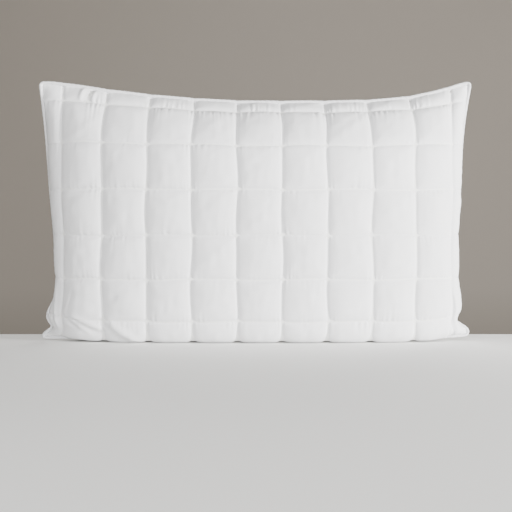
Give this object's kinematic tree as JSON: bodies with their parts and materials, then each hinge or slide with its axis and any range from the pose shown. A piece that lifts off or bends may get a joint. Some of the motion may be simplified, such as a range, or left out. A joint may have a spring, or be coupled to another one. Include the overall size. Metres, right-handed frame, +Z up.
{
  "type": "bed pillow",
  "caption": "Rectangular fibre-filled bed pillow with quilted square panels and a piped edge, standing on its long side.",
  "frame": {"origin": "on the surface that the pillow stands on, midway between its sides and midway between its faces", "axes": "+X along the long side, +Y from the front panel to the back panel, +Z up along the short side"},
  "size_m": [0.7478, 0.161, 0.4485],
  "materials": {
    "cover_cotton": "fine plain white cotton, soft sheen",
    "wadding": "matt polyester wadding",
    "lining": "matt thin nonwoven",
    "fibre": "matt loose hollow fibre",
    "piping_fabric": "fine plain white cotton, cut on the bias",
    "piping_cord": "matt twisted cotton cord",
    "thread": "white polyester thread, slight sheen",
    "label_tape": "blank white satin tape"
  },
  "bodies": {
    "root": {"front_cover": "cover_cotton", "back_cover": "cover_cotton", "front_wadding": "wadding", "back_wadding": "wadding", "front_lining": "lining", "back_lining": "lining", "fibre_filling": "fibre", "piping_sleeve": "piping_fabric", "piping_cord": "piping_cord", "back_stitch_column_01": "thread", "back_stitch_column_02": "thread", "back_stitch_column_03": "thread", "back_stitch_column_04": "thread", "back_stitch_column_05": "thread", "back_stitch_column_06": "thread", "back_stitch_column_07": "thread", "back_stitch_column_08": "thread", "back_stitch_column_09": "thread", "back_stitch_column_10": "thread", "back_stitch_row_1": "thread", "back_stitch_row_2": "thread", "back_stitch_row_3": "thread", "back_stitch_row_4": "thread", "back_stitch_row_5": "thread", "back_stitch_row_6": "thread", "back_stitch_row_7": "thread", "care_label": "label_tape", "closing_seam_thread": "thread", "edge_seam_thread": "thread", "front_stitch_column_01": "thread", "front_stitch_column_02": "thread", "front_stitch_column_03": "thread", "front_stitch_column_04": "thread", "front_stitch_column_05": "thread", "front_stitch_column_06": "thread", "front_stitch_column_07": "thread", "front_stitch_column_08": "thread", "front_stitch_column_09": "thread", "front_stitch_column_10": "thread", "front_stitch_row_1": "thread", "front_stitch_row_2": "thread", "front_stitch_row_3": "thread", "front_stitch_row_4": "thread", "front_stitch_row_5": "thread", "front_stitch_row_6": "thread", "front_stitch_row_7": "thread"}
  },
  "joints": []
}
